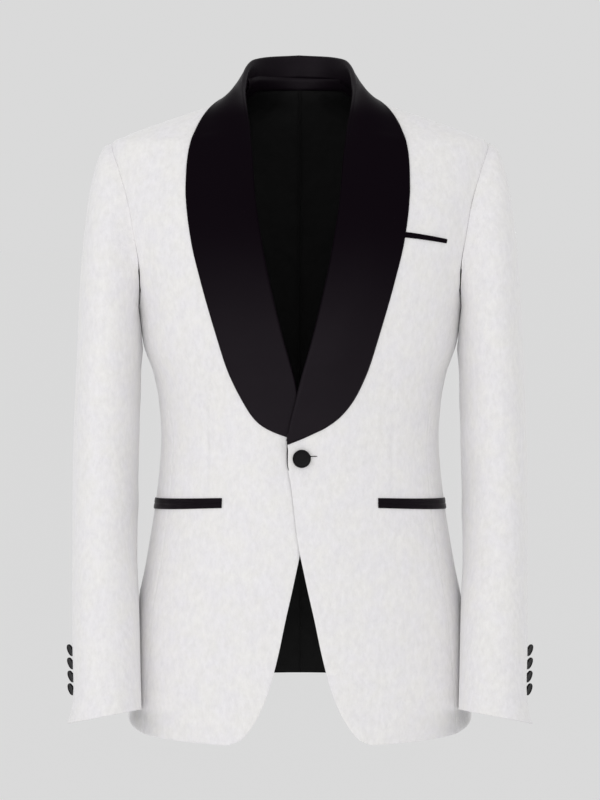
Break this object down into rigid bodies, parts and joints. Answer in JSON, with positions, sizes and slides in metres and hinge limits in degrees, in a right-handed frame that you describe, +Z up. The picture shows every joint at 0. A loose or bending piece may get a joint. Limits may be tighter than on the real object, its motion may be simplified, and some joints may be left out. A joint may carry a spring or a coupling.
{
  "type": "tuxedo jacket",
  "caption": "White tuxedo jacket in worn shape with no wearer: black satin shawl collar, single-button front, jetted pockets, buttoned cuffs, black back lining.",
  "frame": {"origin": "between the two neck points, where the jacket rests on the wearer's shoulders", "axes": "+Z up, -Y the way the jacket faces, +X the wearer's left"},
  "size_m": [0.5418, 0.2682, 0.7903],
  "materials": {
    "white_cloth": "white wool cloth with a soft brushed nap, matt",
    "black_satin": "black silk satin with a soft dim sheen",
    "black_lining": "black smooth lining twill, low sheen",
    "black_button": "black button with a soft gloss"
  },
  "bodies": {
    "root": {"front_left": "white_cloth", "front_right": "white_cloth", "side_left": "white_cloth", "side_right": "white_cloth", "back_left": "white_cloth", "back_right": "white_cloth", "top_sleeve_left": "white_cloth", "top_sleeve_right": "white_cloth", "under_sleeve_left": "white_cloth", "under_sleeve_right": "white_cloth", "shawl_left": "black_satin", "shawl_right": "black_satin", "neck_band": "black_satin", "lining_left": "black_lining", "lining_right": "black_lining", "hip_jets_left": "black_satin", "hip_jets_right": "black_satin", "breast_jet": "black_satin", "front_button": "black_button", "cuff_button_left_1": "black_button", "cuff_button_left_2": "black_button", "cuff_button_left_3": "black_button", "cuff_button_left_4": "black_button", "cuff_button_right_1": "black_button", "cuff_button_right_2": "black_button", "cuff_button_right_3": "black_button", "cuff_button_right_4": "black_button"}
  },
  "joints": []
}
